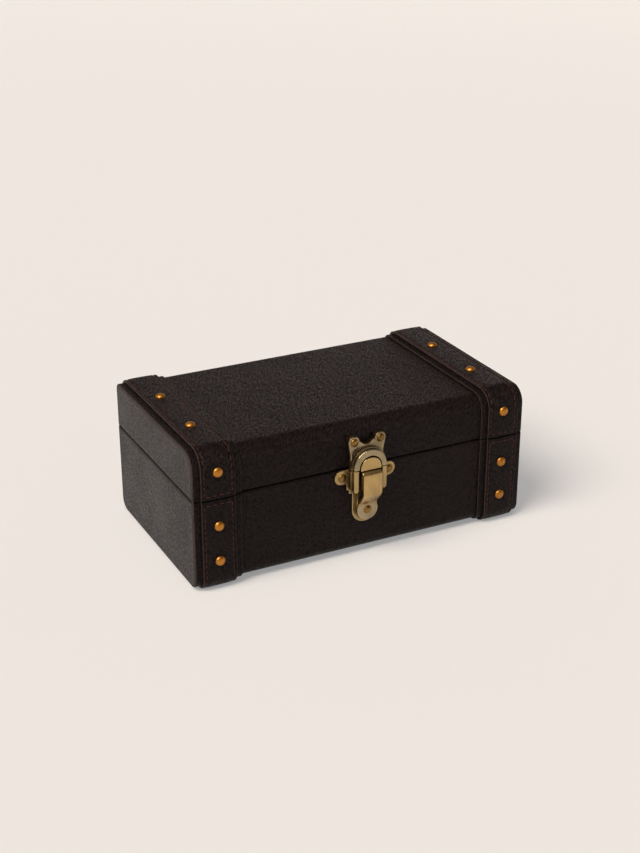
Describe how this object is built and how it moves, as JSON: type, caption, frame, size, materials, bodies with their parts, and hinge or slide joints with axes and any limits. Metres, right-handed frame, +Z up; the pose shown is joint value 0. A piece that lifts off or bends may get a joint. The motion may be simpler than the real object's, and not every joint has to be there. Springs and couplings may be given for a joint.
{
  "type": "leather watch box",
  "caption": "Lidded box of leather-covered boards with strap bands, domed nails, a sprung tongue latch, rear hinges and padded, divided compartments for watches",
  "frame": {"origin": "on the surface that the box stands on, in the middle of everything it reaches over", "axes": "+X along the box to the right, +Y to the back where the hinges are, +Z up; the latch faces -Y"},
  "size_m": [0.29, 0.1797, 0.1193],
  "materials": {
    "body_leather": "fine pebbled, satin, dark brown",
    "strap_leather": "fine pebbled, satin, dark brown, with paler cut edges",
    "latch_brass": "antique, brushed, with darker hollows",
    "nail_brass": "antique, softly polished",
    "hinge_brass": "antique, brushed",
    "screw_steel": "plated, satin",
    "carcass_board": "raw fibreboard",
    "lining_suede": "soft suede",
    "cushion_suede": "soft suede"
  },
  "bodies": {
    "base": {"base_back_board": "carcass_board", "base_floor_board": "carcass_board", "base_front_board": "carcass_board", "base_hinge_leaves": "hinge_brass", "base_hinge_screws": "screw_steel", "base_leather_cover": "body_leather", "base_left_end_board": "carcass_board", "base_left_end_leather": "body_leather", "base_left_over_strap": "strap_leather", "base_left_under_strap": "strap_leather", "base_lining": "lining_suede", "base_nails": "nail_brass", "base_right_end_board": "carcass_board", "base_right_end_leather": "body_leather", "base_right_over_strap": "strap_leather", "base_right_under_strap": "strap_leather", "cross_divider_1": "lining_suede", "cross_divider_2": "lining_suede", "cross_divider_3": "lining_suede", "cross_divider_4": "lining_suede", "hinge_pins": "hinge_brass", "latch_base_plate": "latch_brass", "latch_base_rivets": "latch_brass", "latch_foot": "latch_brass", "latch_foot_rivet": "latch_brass", "long_divider": "lining_suede"},
    "latch_tongue": {"latch_tongue": "latch_brass"},
    "lid": {"lid_back_board": "carcass_board", "lid_front_board": "carcass_board", "lid_hinge_leaves": "hinge_brass", "lid_hinge_screws": "screw_steel", "lid_leather_cover": "body_leather", "lid_left_end_board": "carcass_board", "lid_left_end_leather": "body_leather", "lid_left_over_strap": "strap_leather", "lid_left_under_strap": "strap_leather", "lid_lining": "lining_suede", "lid_nails": "nail_brass", "lid_pad": "lining_suede", "lid_right_end_board": "carcass_board", "lid_right_end_leather": "body_leather", "lid_right_over_strap": "strap_leather", "lid_right_under_strap": "strap_leather", "lid_top_board": "carcass_board", "latch_hasp_plate": "latch_brass", "latch_hasp_rivets": "latch_brass"},
    "watch_cushion_01": {"watch_cushion_01": "cushion_suede"},
    "watch_cushion_02": {"watch_cushion_02": "cushion_suede"},
    "watch_cushion_03": {"watch_cushion_03": "cushion_suede"},
    "watch_cushion_04": {"watch_cushion_04": "cushion_suede"},
    "watch_cushion_05": {"watch_cushion_05": "cushion_suede"},
    "watch_cushion_06": {"watch_cushion_06": "cushion_suede"},
    "watch_cushion_07": {"watch_cushion_07": "cushion_suede"},
    "watch_cushion_08": {"watch_cushion_08": "cushion_suede"},
    "watch_cushion_09": {"watch_cushion_09": "cushion_suede"},
    "watch_cushion_10": {"watch_cushion_10": "cushion_suede"}
  },
  "joints": [
    {"name": "lid_hinge", "type": "hinge", "parent": "base", "child": "lid", "pos_m": [0, 0.08735, 0.0771], "axis": [-1, 0, 0], "range_deg": [0, 100]},
    {"name": "latch_spring", "type": "hinge", "parent": "base", "child": "latch_tongue", "pos_m": [0, -0.08045, 0.0467], "axis": [1, 0, 0], "range_deg": [0, 7], "stiffness_Nm_per_rad": 0.8, "springref_deg": -4.58},
    {"name": "watch_cushion_01_lift", "type": "slide", "parent": "base", "child": "watch_cushion_01", "axis": [0, 0, 1], "range_m": [0, 0.04]},
    {"name": "watch_cushion_02_lift", "type": "slide", "parent": "base", "child": "watch_cushion_02", "axis": [0, 0, 1], "range_m": [0, 0.04]},
    {"name": "watch_cushion_03_lift", "type": "slide", "parent": "base", "child": "watch_cushion_03", "axis": [0, 0, 1], "range_m": [0, 0.04]},
    {"name": "watch_cushion_04_lift", "type": "slide", "parent": "base", "child": "watch_cushion_04", "axis": [0, 0, 1], "range_m": [0, 0.04]},
    {"name": "watch_cushion_05_lift", "type": "slide", "parent": "base", "child": "watch_cushion_05", "axis": [0, 0, 1], "range_m": [0, 0.04]},
    {"name": "watch_cushion_06_lift", "type": "slide", "parent": "base", "child": "watch_cushion_06", "axis": [0, 0, 1], "range_m": [0, 0.04]},
    {"name": "watch_cushion_07_lift", "type": "slide", "parent": "base", "child": "watch_cushion_07", "axis": [0, 0, 1], "range_m": [0, 0.04]},
    {"name": "watch_cushion_08_lift", "type": "slide", "parent": "base", "child": "watch_cushion_08", "axis": [0, 0, 1], "range_m": [0, 0.04]},
    {"name": "watch_cushion_09_lift", "type": "slide", "parent": "base", "child": "watch_cushion_09", "axis": [0, 0, 1], "range_m": [0, 0.04]},
    {"name": "watch_cushion_10_lift", "type": "slide", "parent": "base", "child": "watch_cushion_10", "axis": [0, 0, 1], "range_m": [0, 0.04]}
  ]
}
